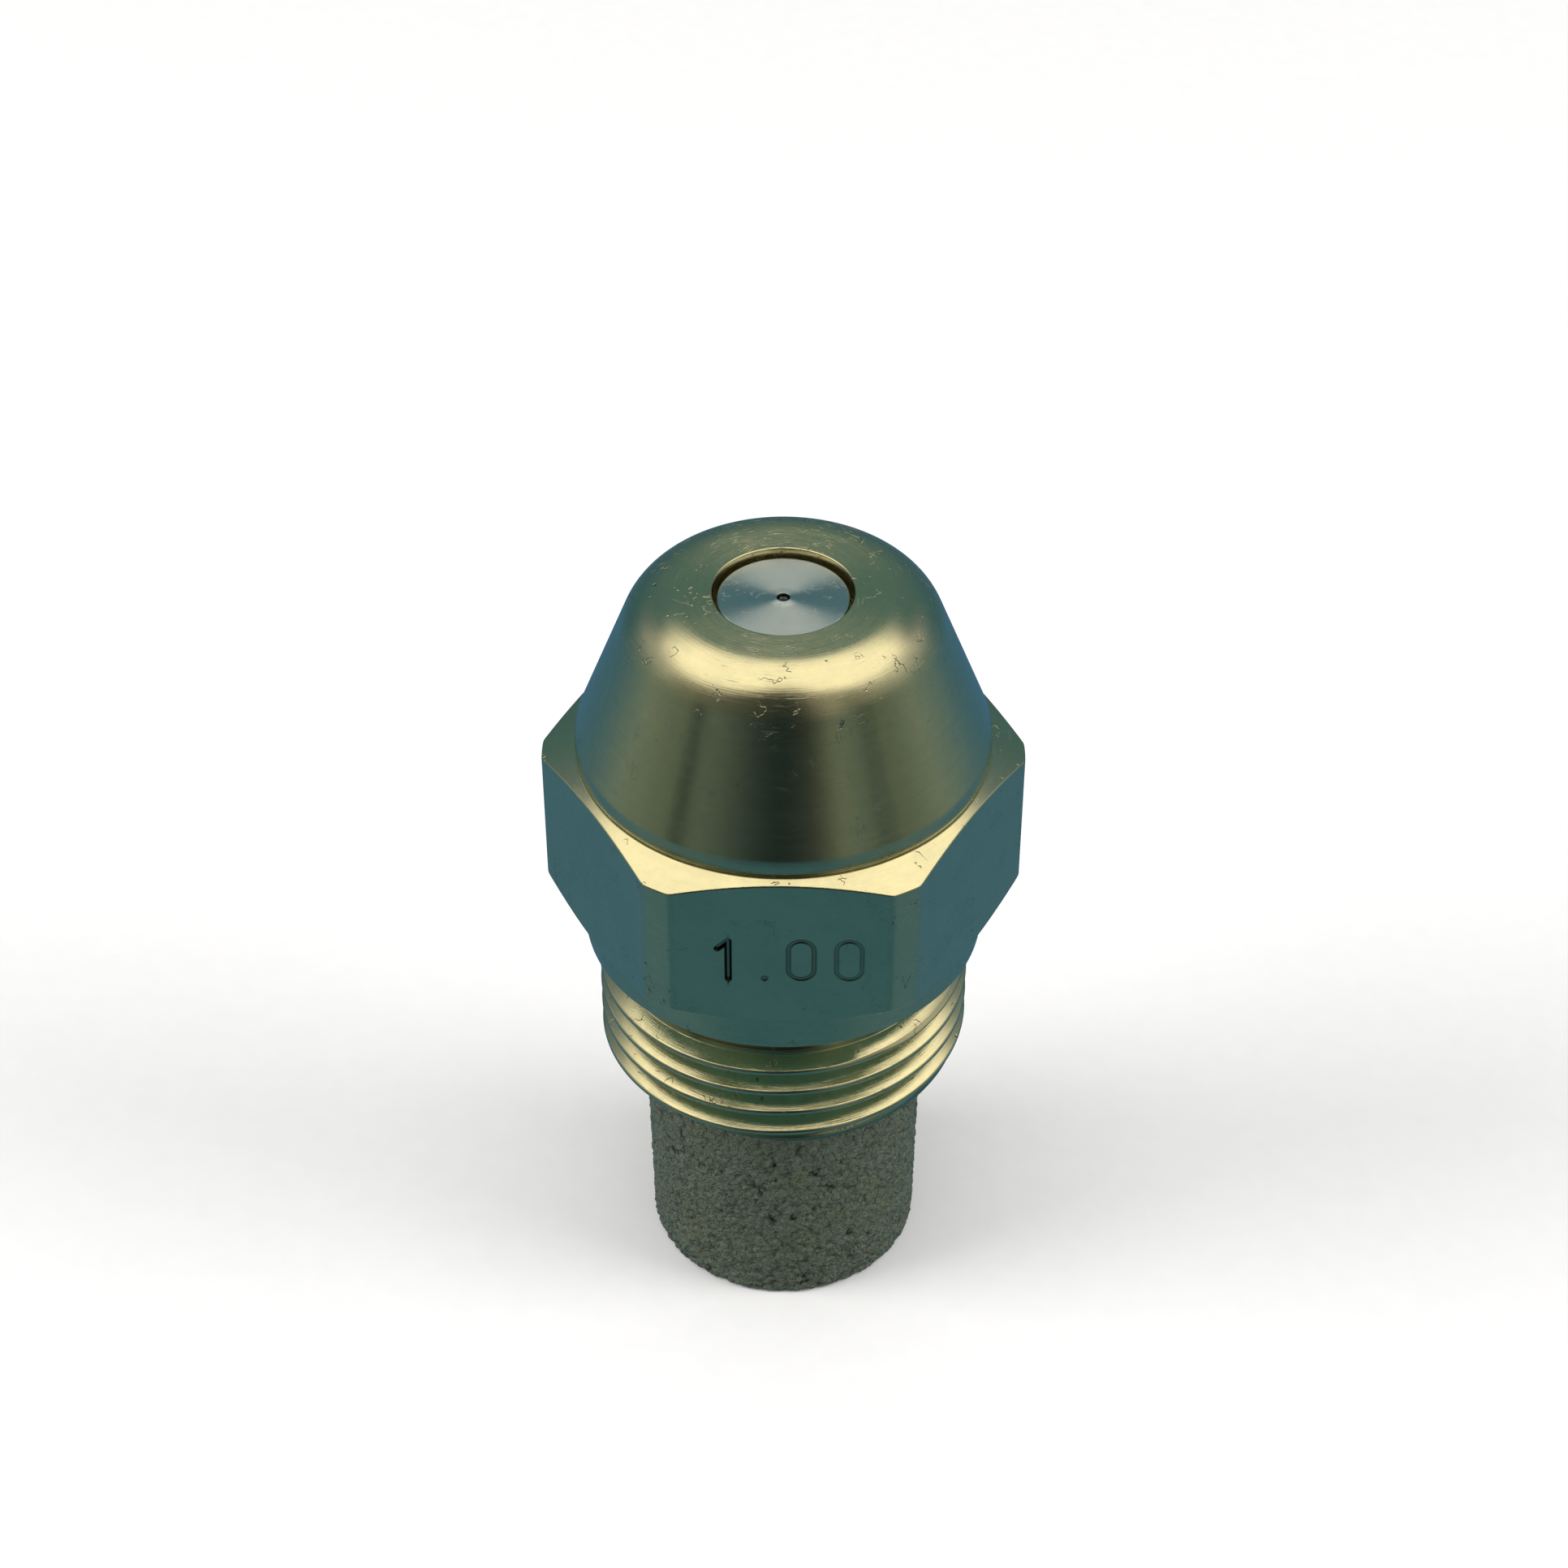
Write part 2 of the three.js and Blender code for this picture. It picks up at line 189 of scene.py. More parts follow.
def smoothstep(low, high, x):
    """0 below low, 1 above high and a smooth rise between them."""
    s = np.clip((x - low) / (high - low), 0, 1)
    return s * s * (3 - 2 * s)


def stack_object(name, parts):
    """One object from stacks of point rows, each stack's last row lying on the next one's first."""
    rows = np.concatenate(parts, axis=0)
    return smooth_object(name, rows.reshape(-1, 3), grid_faces(rows.shape[0], rows.shape[1]))


# ---- Brass body ----

def body_angles():
    """Column angles, from the back anticlockwise, closer together beside each hexagon corner."""
    step = math.radians(2.0)
    corner = math.acos(HEX_FLAT / HEX_CORNER)
    angles = []
    for face in range(6):
        centre = math.pi / 2 + face * math.pi / 3
        for side in (-1, 1):
            for offset in (-1.2, -0.5, -0.2, 0.0, 0.2, 0.5, 1.2):
                angles.append(centre + side * (corner + math.radians(offset)))
    angles = np.array(angles)
    base = np.arange(math.pi / 2, math.pi / 2 + TURN, step)
    clear = np.array([np.min(np.abs(angles - a)) for a in base]) > math.radians(0.9)
    angles = np.where(angles < math.pi / 2, angles + TURN, angles)
    everything = np.concatenate([base[clear | (base == base[0])], angles])
    return np.append(np.unique(np.round(everything, 9)), math.pi / 2 + TURN)


def from_face(angles):
    """How far each angle is from the middle of its hexagon face."""
    return (angles + math.pi / 6 - math.pi / 2) % (math.pi / 3) - math.pi / 6


def hexagon_radius(angles):
    """The hexagon's radius at each angle, its corners turned round and their edges slightly broken."""
    flat = HEX_FLAT / np.cos(from_face(angles))
    sharpness = 40.0
    both = np.exp(-sharpness * (flat - HEX_FLAT)) + np.exp(-sharpness * (HEX_CORNER - HEX_FLAT))
    return -np.log(both) / sharpness + HEX_FLAT


def head_rows(angles):
    """From the relief groove up over the collar, hexagon, cone and shoulder, and down into the bore."""
    under_slope, crown_slope, cone_slope = math.tan(math.radians(30.5)), 0.54 / 1.21, math.radians(20.9)
    (foot_radius, foot), (top_radius, cone_top) = CONE_FOOT, CONE_TOP
    profiles = []
    for reach in hexagon_radius(angles):
        bottom = COLLAR_TOP + (reach - COLLAR_RADIUS) * under_slope
        crown = HEX_TOP + (HEX_CORNER - reach) * crown_slope
        outline = [[RELIEF_RADIUS, THREAD_TOP], [RELIEF_RADIUS, 15.7], [RELIEF_RADIUS, 16.06],
                   [COLLAR_RADIUS, 16.1], [COLLAR_RADIUS, COLLAR_TOP],
                   [reach, bottom], [reach, 19.5], [reach, 22.3], [reach, crown],
                   [7.73, 24.54], [7.6, 24.56], [7.6, 24.66], [7.7, 24.72], [foot_radius, foot]]
        lower = fillet(outline, [0, 0, 0.12, 0.07, 0.05, 0.05, 0, 0, 0.05, 0.03, 0.03, 0.02, 0.03, 0])
        cone = [[foot_radius + (top_radius - foot_radius) * s, foot + (cone_top - foot) * s]
                for s in np.linspace(0.02, 0.98, 12)]
        shoulder = [[TIP_FLAT_RADIUS + SHOULDER_RADIUS * math.cos(a),
                     BODY_TOP - SHOULDER_RADIUS + SHOULDER_RADIUS * math.sin(a)]
                    for a in np.linspace(cone_slope, math.pi / 2, 22)]
        hole = fillet([[3.7, BODY_TOP], [HOLE_RADIUS, BODY_TOP], [HOLE_RADIUS, BORE_TOP],
                       [BORE_RADIUS, BORE_TOP], [BORE_RADIUS, NUT_TOP]], [0, 0.05, 0.03, 0.05, 0])
        profiles.append(np.concatenate([lower, cone, shoulder, hole]))
    return around(angles[None, :], np.array(profiles).transpose(1, 0, 2))


def outer_thread_shape(radii, heights):
    """Runs the thread out into the relief groove above it and breaks its first edge below."""
    relief = RELIEF_RADIUS + np.maximum(THREAD_END - heights, 0)
    broken = OUTER_THREAD["minor"] + 0.28 + (heights - BODY_BOTTOM) * LEAD_SLOPE
    return np.minimum(radii, np.minimum(relief, broken))


def nut_thread_shape(radii, heights):
    """Widens the inner thread's lower end into the filter's pocket."""
    return np.maximum(radii, 4.15 - (heights - POCKET_TOP) * 0.8)


def stamp_groove(x, z):
    """The stamped size number on the front flat: its depth at each point, and how much painted shade darkens
    its walls.
    """
    def segment(x0, z0, x1, z1):
        dx, dz = x1 - x0, z1 - z0
        t = np.clip(((x - x0) * dx + (z - z0) * dz) / (dx * dx + dz * dz), 0, 1)
        return np.hypot(x - x0 - t * dx, z - z0 - t * dz)

    def oval(cx, cz, half_width, half_height):
        straight = half_height - half_width
        return np.abs(np.hypot(x - cx, np.maximum(np.abs(z - cz) - straight, 0)) - half_width)

    mid = STAMP_HEIGHT
    stem = segment(-1.9, mid - 0.92, -1.9, mid + 0.92)
    one = np.minimum(stem, segment(-1.9, mid + 0.92, -2.28, mid + 0.55))
    dot = np.maximum(np.hypot(x + 0.6, z - (mid - 0.9)) - 0.04, 0)
    depth = np.zeros_like(x)
    groove_shade = np.zeros_like(x)
    # Each stroke: its distance, half width, depth and how dark painted shade makes its walls; deeper strokes
    # get more painted shade.
    strokes = [(one, 0.125, 0.12, 1.0), (dot, 0.09, 0.04, 0.7),
               (oval(0.72, mid, 0.46, 0.92), 0.09, 0.03, 0.68),
               (oval(2.44, mid, 0.46, 0.92), 0.085, 0.025, 0.58)]
    for distance, half_width, deep, shade_strength in strokes:
        depth = np.maximum(depth, deep * (1 - smoothstep(half_width * 0.45, half_width, distance)))
        within = 1 - smoothstep(half_width * 0.9, half_width * 1.25, distance)
        middle = 1 - smoothstep(half_width * 0.2, half_width * 0.5, distance)
        groove_shade = np.maximum(groove_shade, shade_strength * within * (1 - 0.55 * middle))
    return depth, groove_shade


def stamp_patch(border_x, low, high):
    """The front flat's stamped window as points, faces and painted groove shade, its border on the coarse
    grid's columns.
    """
    reach, z0, z1 = STAMP_WINDOW["reach"], STAMP_WINDOW["low"], STAMP_WINDOW["high"]
    fine_x = np.unique(np.round(np.concatenate([
        np.arange(-2.5, -1.7, 0.025), np.arange(-0.76, -0.44, 0.025), np.arange(0.12, 1.32, 0.025),
        np.arange(1.84, 3.04, 0.025), np.linspace(-reach, reach, 33)]), 4))
    fine_z = np.unique(np.round(np.concatenate([np.arange(19.85, 21.98, 0.026), [z0, z1]]), 4))
    grid_x, grid_z = np.meshgrid(fine_x, fine_z)
    depth, grid_groove_shade = stamp_groove(grid_x, grid_z)
    points = np.stack([grid_x, -HEX_FLAT + depth, grid_z], axis=-1).reshape(-1, 3)
    rows, columns = grid_x.shape
    faces = grid_faces(rows, columns)
    outer = [(x, low) for x in border_x] + [(x, high) for x in border_x[::-1]]
    index = np.arange(rows * columns).reshape(rows, columns)
    ring = list(index[0, :]) + list(index[1:, -1]) + list(index[-1, -2::-1]) + list(index[-2:0:-1, 0])
    inner = [(points[i][0], points[i][2]) for i in ring]
    edges = [(i, (i + 1) % len(outer)) for i in range(len(outer))]
    edges += [(len(outer) + i, len(outer) + (i + 1) % len(inner)) for i in range(len(inner))]
    corners = [Vector(p) for p in outer + inner]
    found, _, triangles, _, _, _ = geometry.delaunay_2d_cdt(corners, edges, [], 1, 1e-7)
    first = len(points)
    points = np.concatenate([points, [[p.x, -HEX_FLAT, p.y] for p in found]])
    for triangle in triangles:
        centre_x = sum(found[i].x for i in triangle) / 3
        centre_z = sum(found[i].y for i in triangle) / 3
        if not (-reach < centre_x < reach and z0 < centre_z < z1):
            faces.append(tuple(first + i for i in triangle))
    return points, faces, np.concatenate([grid_groove_shade.reshape(-1), np.zeros(len(found))])


def on_flat(points):
    """True for each point that lies on one of the hexagon's flats."""
    turned = from_face(np.arctan2(points[:, 1], points[:, 0]))
    reach = np.hypot(points[:, 0], points[:, 1]) * np.cos(turned)
    return (np.abs(reach - HEX_FLAT) < 0.004) & (points[:, 2] > 17.7) & (points[:, 2] < 24.5)


def nozzle_body():
    """The whole brass body as one skin, its front flat opened for the finer stamped window."""
    angles = body_angles()
    thread = helix_rows(angles, OUTER_THREAD, BODY_BOTTOM, THREAD_TOP, 0.07, 3, outer_thread_shape)
    head = head_rows(angles)
    nut = helix_rows(angles, NUT_THREAD, NUT_BOTTOM, NUT_TOP, 0.03, 1, nut_thread_shape)[::-1]
    pocket = turned_rows(angles, fillet([[4.0, NUT_BOTTOM], [4.15, POCKET_TOP], [POCKET_RADIUS, POCKET_TOP],
                                         [POCKET_RADIUS, BODY_BOTTOM], [6.2, BODY_BOTTOM]],
                                        [0, 0.03, 0.1, 0.06, 0], 3))
    rows = np.concatenate([thread, head, nut, pocket, thread[:1]], axis=0)
    verts = rows.reshape(-1, 3)
    columns = rows.shape[1]
    beside_stamp = np.abs(HEX_FLAT / np.tan(angles)) < STAMP_WINDOW["reach"] + 0.4
    front = np.where((np.sin(angles) < -0.9) & beside_stamp)[0]
    left, right = front[0], front[-1]
    low, high = STAMP_WINDOW["low"] - STAMP_WINDOW["margin"], STAMP_WINDOW["high"] + STAMP_WINDOW["margin"]
    heights = head[:, left, 2]
    window = [i for i in range(len(heights) - 1) if heights[i] > low - 1e-6 and heights[i + 1] < high + 1e-6
              and abs(head[i, left, 1] + HEX_FLAT) < 1e-4]
    first_row, last_row = thread.shape[0] + window[0], thread.shape[0] + window[-1]
    faces = []
    for number, face in enumerate(grid_faces(rows.shape[0], columns)):
        row, column = divmod(number, columns - 1)
        if not (first_row <= row <= last_row and left <= column < right):
            faces.append(face)
    flat = on_flat(verts)
    finishes = [1 if all(flat[i] for i in face) else 0 for face in faces]
    border_x = [float(-HEX_FLAT / math.tan(angles[j])) for j in front]
    points, patch, patch_groove_shade = stamp_patch(border_x, low, high)
    offset = len(verts)
    faces += [tuple(offset + i for i in face) for face in patch]
    finishes += [1] * len(patch)
    verts = np.concatenate([verts, points])
    # Painted shade for the stamped grooves, zero everywhere off the stamp.
    groove_shade = np.concatenate([np.zeros(offset), patch_groove_shade])
    return smooth_object("body_brass_shell", verts, faces, {"groove_shade": groove_shade}, finishes)


# ---- Steel disc and swirl cone ----

def full_turn(columns):
    """Column angles of a full turn from the back."""
    return np.linspace(math.pi / 2, math.pi / 2 + TURN, columns + 1)


def orifice_disc():
    """The disc with its flange, inner seat and the small crater round its orifice."""
    outline = [[0.6, 30.3], [0.6, 30.55], [0.14, 30.76], [0.14, 30.97], [0.22, 31.115], [0.27, 31.12],
               [0.55, 31.1], [2.38, 31.1], [2.38, 29.35], [3.35, 29.35], [3.35, 26.9], [2.6, 26.9],
               [2.6, 28.3], [0.6, 30.3]]
    radii = [0, 0.02, 0.01, 0.01, 0.02, 0.03, 0.06, 0.06, 0.03, 0.06, 0.06, 0.04, 0.03, 0]
    return stack_object("orifice_disc_steel", [turned_rows(full_turn(160), fillet(outline, radii, 3))])


def swirl_cone():
    """The cone with four slots that run down its side, each a little beside the axis."""
    radius, blunt, slots = 2.3, 0.45, 4
    slot_size, slot_place, slot_offset = (4, 0.35, 0.56), 1.5, 0.32
    outline = [[0.0, 24.1], [radius, 24.1], [radius, SWIRL_APEX - radius], [blunt, SWIRL_APEX - blunt],
               [0.0, SWIRL_APEX - blunt]]
    rows = turned_rows(full_turn(128), fillet(outline, [0, 0.2, 0.04, 0.03, 0], 3))
    cone = stack_object("swirl_cone_steel", [rows])
    for i in range(slots):
        turn = TURN * (i + 0.5) / slots
        bpy.ops.mesh.primitive_cube_add(size=1)
        cutter = bpy.context.object
        cutter.scale = [side * MM for side in slot_size]
        cutter.rotation_euler = (0, math.pi / 4, turn)
        cutter.location = (math.cos(turn) * slot_place * MM - math.sin(turn) * slot_offset * MM,
                           math.sin(turn) * slot_place * MM + math.cos(turn) * slot_offset * MM,
                           (SWIRL_APEX - slot_place) * MM)
        cut(cone, cutter)
    cone.data.set_sharp_from_angle(angle=math.radians(35))
    return cone


def cut(piece, cutter):
    """Subtracts cutter from piece and removes it."""
    bpy.context.view_layer.update()
    modifier = piece.modifiers.new("cut", "BOOLEAN")
    modifier.operation = "DIFFERENCE"
    modifier.solver = "EXACT"
    modifier.object = cutter
    bpy.context.view_layer.objects.active = piece
    with bpy.context.temp_override(object=piece, active_object=piece, selected_objects=[piece]):
        bpy.ops.object.modifier_apply(modifier="cut")
    bpy.data.objects.remove(cutter)


# ---- Lock screw ----

def screw_thread_shape(radii, heights):
    """Narrows the screw's thread at both ends."""
    below = 3.35 + (heights - SCREW_THREAD_BOTTOM) * LEAD_SLOPE
    above = 3.1 + (SCREW_THREAD_TOP - heights) * LEAD_SLOPE
    return np.minimum(radii, np.minimum(below, above))


def lock_screw():
    """The screw with its bored stem, shoulder and thread, cross holes below its nose and a driver slot."""
    angles = full_turn(120)
    lower = fillet([[0.0, 23.0], [1.6, 22.2], [1.6, 9.0], [3.6, 9.0], [3.6, 13.95], [4.7, 13.95],
                    [4.7, 14.5], [3.35, 14.5], [3.35, SCREW_THREAD_BOTTOM]],
                   [0, 0.05, 0.1, 0.3, 0.08, 0.12, 0.12, 0.1, 0], 3)
    thread = helix_rows(angles, SCREW_THREAD, SCREW_THREAD_BOTTOM, SCREW_THREAD_TOP, 0.05, 2,
                        screw_thread_shape)
    upper = fillet([[3.05, SCREW_THREAD_TOP], [3.05, 23.85], [0.0, 23.85]], [0, 0.3, 0], 3)
    rows = [turned_rows(angles, lower), thread, turned_rows(angles, upper)]
    screw = stack_object("lock_screw_brass", rows)
    for i in range(2):
        bpy.ops.mesh.primitive_cylinder_add(vertices=40, radius=0.6 * MM, depth=9 * MM)
        cutter = bpy.context.object
        cutter.rotation_euler = (math.pi / 2, 0, math.pi / 2 * i)
        cutter.location = (0, 0, 21.7 * MM)
        cut(screw, cutter)
    bpy.ops.mesh.primitive_cube_add(size=1)
    cutter = bpy.context.object
    cutter.scale = (8.2 * MM, 1.4 * MM, 3.6 * MM)
    cutter.location = (0, 0, 9.0 * MM)
    cut(screw, cutter)
    screw.data.set_sharp_from_angle(angle=math.radians(40))
    return screw


# ---- Sintered filter cup ----

def filter_side(height):
    """The filter's radius at a height on its side."""
    return FILTER_RADIUS + FILTER_TAPER * height


def grain_heights(points, generator):
    """How far each point stands out over a skin of packed grains and pores, in millimetres."""
    count, pore_share, pore_lift = 12000, 0.015, -0.06
    angle = generator.uniform(0, TURN, count)
    # Grains with a height below zero lie on the bottom, spread evenly over its area.
    height = generator.uniform(-FILTER_RADIUS / 2, 13.8, count)
    on_side = height > 0
    on_bottom = FILTER_RADIUS * np.sqrt(np.clip(-height * 2 / FILTER_RADIUS, 0, 1))
    radius = np.where(on_side, filter_side(height), on_bottom)
    centres = np.stack([radius * np.cos(angle), radius * np.sin(angle), np.where(on_side, height, 0)],
                       axis=-1)
    lift = generator.normal(0.0, 0.018, count)
    lift = np.where(generator.random(count) < pore_share, pore_lift, lift)
    tree = kdtree.KDTree(count)
    for i, centre in enumerate(centres):
        tree.insert(centre, i)
    tree.balance()
    heights = np.empty(len(points))
    for index, point in enumerate(points):
        _, i, distance = tree.find(point)
        heights[index] = lift[i] - min(2.5 * distance ** 2, 0.07)
    return np.clip(heights, -0.13, 0.03)


def filter_cup():
    """The cup with a grainy outside, a plain inside and a flat bottom."""
    generator = np.random.default_rng(7)
    angles = np.linspace(math.pi / 2, math.pi / 2 + TURN, 521)[:-1]
    edge_radius, floor_height = 0.22, 2.0
    base = [[r, 0.0] for r in np.linspace(0.05, 5.05, 16)]
    edge = [[FILTER_RADIUS - edge_radius * (1 - math.cos(a)), edge_radius * (1 - math.sin(a))]
            for a in np.linspace(math.pi / 2, 0, 5)]
    side = [[filter_side(z), z] for z in np.arange(0.28, 11.7, 0.084)]
    hidden = [[filter_side(z), z] for z in np.arange(11.9, 13.5, 0.25)]
    outside = np.array(base + edge + side + hidden)
    tangents = np.gradient(outside, axis=0)
    tangents /= np.linalg.norm(tangents, axis=1)[:, None]
    out_r, out_z = tangents[:, 1], -tangents[:, 0]
    points = turned_rows(angles, outside)
    normals = np.stack([out_r[:, None] * np.cos(angles), out_r[:, None] * np.sin(angles),
                        np.repeat(out_z[:, None], len(angles), axis=1)], axis=-1)
    heights = grain_heights(points.reshape(-1, 3), generator).reshape(points.shape[:2])
    # The bottom only has hollows, and they fade out towards its middle, where the columns meet.
    flat = slice(len(base))
    heights[flat] = np.minimum(heights[flat], 0) * smoothstep(4.5, 5.05, outside[flat, 0])[:, None]
    heights[-2:] *= 0.3
    moved = points + normals * heights[..., None]
    moved[..., 2] = np.maximum(moved[..., 2], 0)
    inside = turned_rows(angles, fillet([[5.45, 13.62], [5.3, FILTER_TOP], [3.9, FILTER_TOP], [3.78, 13.55],
                                         [3.78, floor_height], [0.05, floor_height]],
                                        [0, 0.05, 0.05, 0.05, 0.8, 0], 3))
    rows = np.concatenate([moved, inside], axis=0)
    count, columns = rows.shape[:2]
    faces = []
    for i in range(count - 1):
        for j in range(columns):
            k = (j + 1) % columns
            faces.append((i * columns + j, i * columns + k, (i + 1) * columns + k, (i + 1) * columns + j))
    verts = np.concatenate([rows.reshape(-1, 3), [[0, 0, 0], [0, 0, floor_height]]])
    bottom, floor_centre = len(verts) - 2, len(verts) - 1
    last = (count - 1) * columns
    for j in range(columns):
        k = (j + 1) % columns
        faces.append((bottom, k, j))
        faces.append((floor_centre, last + j, last + k))
    depth = np.zeros(len(verts))
    depth[: moved.shape[0] * columns] = heights.reshape(-1)
    return smooth_object("filter_sintered_bronze", verts, faces, {"grain": depth})


# ---- Materials ----

BLACK = (0, 0, 0)
WHITE = (1, 1, 1)
LIGHT_BRASS = (0.88, 0.78, 0.43)
TARNISHED_BRASS = (0.70, 0.64, 0.38)
DIRT = (0.10, 0.08, 0.04)
# Near-black painted shade for the stamped grooves.
GROOVE_SHADE = (0.012, 0.012, 0.010)
# The heights on the cone between which it is cleaner than the rest of the body, in millimetres.
CLEAN_FROM, CLEAN_TO = 24.8, 29.6


class Shader:
    """A material with a Principled shader and short ways to add and join nodes."""

    def __init__(self, name, colour, metallic, roughness, **constants):
        self.material = bpy.data.materials.new(name)
        self.material.use_nodes = True
        self.tree = self.material.node_tree
        self.shader = self.tree.nodes["Principled BSDF"]
        self.shader.inputs["Base Color"].default_value = (*colour, 1)
        self.shader.inputs["Metallic"].default_value = metallic
        self.shader.inputs["Roughness"].default_value = roughness
        for socket, value in constants.items():
            self.shader.inputs[socket.replace("_", " ")].default_value = value

    def node(self, kind, inputs=(), output=0, **settings):
        node = self.tree.nodes.new(kind)
        for key, value in settings.items():
            setattr(node, key, value)
        for key, value in dict(inputs).items():
            socket = node.inputs[key]
            if isinstance(value, bpy.types.NodeSocket):
                self.tree.links.new(value, socket)
            else:
                socket.default_value = value
        return node.outputs[output]

    def math(self, operation, a, b=0.0):
        return self.node("ShaderNodeMath", {0: a, 1: b}, operation=operation)

    def ramp(self, value, stops):
        """A colour ramp from (position, colour) stops."""
        node = self.tree.nodes.new("ShaderNodeValToRGB")
        self.tree.links.new(value, node.inputs[0])
        elements = node.color_ramp.elements
        while len(elements) < len(stops):
            elements.new(0.5)
        for element, (position, colour) in zip(elements, stops):
            element.position = position
            element.color = (*colour, 1)
        return node.outputs[0]

    def band(self, value, low, high):
        """0 below low, 1 above high and a straight rise between them."""
        return self.ramp(value, [(low, BLACK), (high, WHITE)])

    def line(self, value, width):
        """1 where value is 0, falling to 0 at width."""
        return self.ramp(value, [(0.0, WHITE), (width, BLACK)])

    def dot(self, distance, inner, outer):
        """1 within inner of a point, falling to 0 at outer."""
        return self.ramp(distance, [(inner, WHITE), (outer, BLACK)])

    def mix(self, factor, a, b):
        node = self.tree.nodes.new("ShaderNodeMix")
        node.data_type = "RGBA"
        for key, value in ((0, factor), (6, a), (7, b)):
            if isinstance(value, bpy.types.NodeSocket):
                self.tree.links.new(value, node.inputs[key])
            else:
                node.inputs[key].default_value = value if key == 0 else (*value, 1)
        return node.outputs[2]

    def place(self, scale=1000.0):
        """The point on the object in millimetres times scale / 1000."""
        coords = self.node("ShaderNodeTexCoord", output=3)
        return self.node("ShaderNodeVectorMath", {0: coords, 1: (scale, scale, scale)}, operation="MULTIPLY")

    def split(self, place):
        """The x, y and z of a point."""
        parts = self.tree.nodes.new("ShaderNodeSeparateXYZ")
        self.tree.links.new(place, parts.inputs[0])
        return parts.outputs

    def turn(self, x, y):
        """The angle from the front (-Y) towards +X, in radians."""
        return self.math("ARCTAN2", x, self.math("MULTIPLY", y, -1.0))

    def from_axis(self, x, y):
        squared = self.math("ADD", self.math("MULTIPLY", x, x), self.math("MULTIPLY", y, y))
        return self.math("SQRT", squared)

    def around_axis(self, place, along_turn, across):
        """A point whose noise runs in rings about Z: squeezed along the turn and stretched across it."""
        x, y, z = self.split(place)
        return self.node("ShaderNodeCombineXYZ", {
            0: self.math("MULTIPLY", self.turn(x, y), along_turn),
            1: self.math("MULTIPLY", self.from_axis(x, y), across),
            2: self.math("MULTIPLY", z, across),
        })

    def scratches(self, place, curve, width, patch):
        """Hairlines of some width that only show in patches.

        curve is the scale and roughness of their noise, and patch the scale and limits of the patches'."""
        curve_scale, curve_roughness = curve
        wander = self.noise(place, curve_scale, 3.0, curve_roughness)
        wander = self.math("ABSOLUTE", self.math("SUBTRACT", wander, 0.5))
        patch_scale, low, high = patch
        shown = self.band(self.noise(place, patch_scale, 2.0, 0.5), low, high)
        return self.math("MULTIPLY", self.line(wander, width), shown)

    def noise(self, vector, scale, detail=3.0, roughness=0.55, output=0):
        return self.node("ShaderNodeTexNoise", {"Vector": vector, "Scale": scale, "Detail": detail,
                                                "Roughness": roughness}, output)

    def scaled(self, value, factor, added):
        """value times factor, plus added."""
        result = self.math("MULTIPLY_ADD", value, factor)
        result.node.inputs[2].default_value = added
        return result

    def set(self, socket, value):
        self.tree.links.new(value, self.shader.inputs[socket])

    def bump(self, height, strength, distance, normal=None):
        inputs = {"Height": height, "Strength": strength, "Distance": distance}
        if normal is not None:
            inputs["Normal"] = normal
        return self.node("ShaderNodeBump", inputs)

    def ring_tangent(self):
        self.set("Tangent", self.node("ShaderNodeTangent", direction_type="RADIAL", axis="Z"))


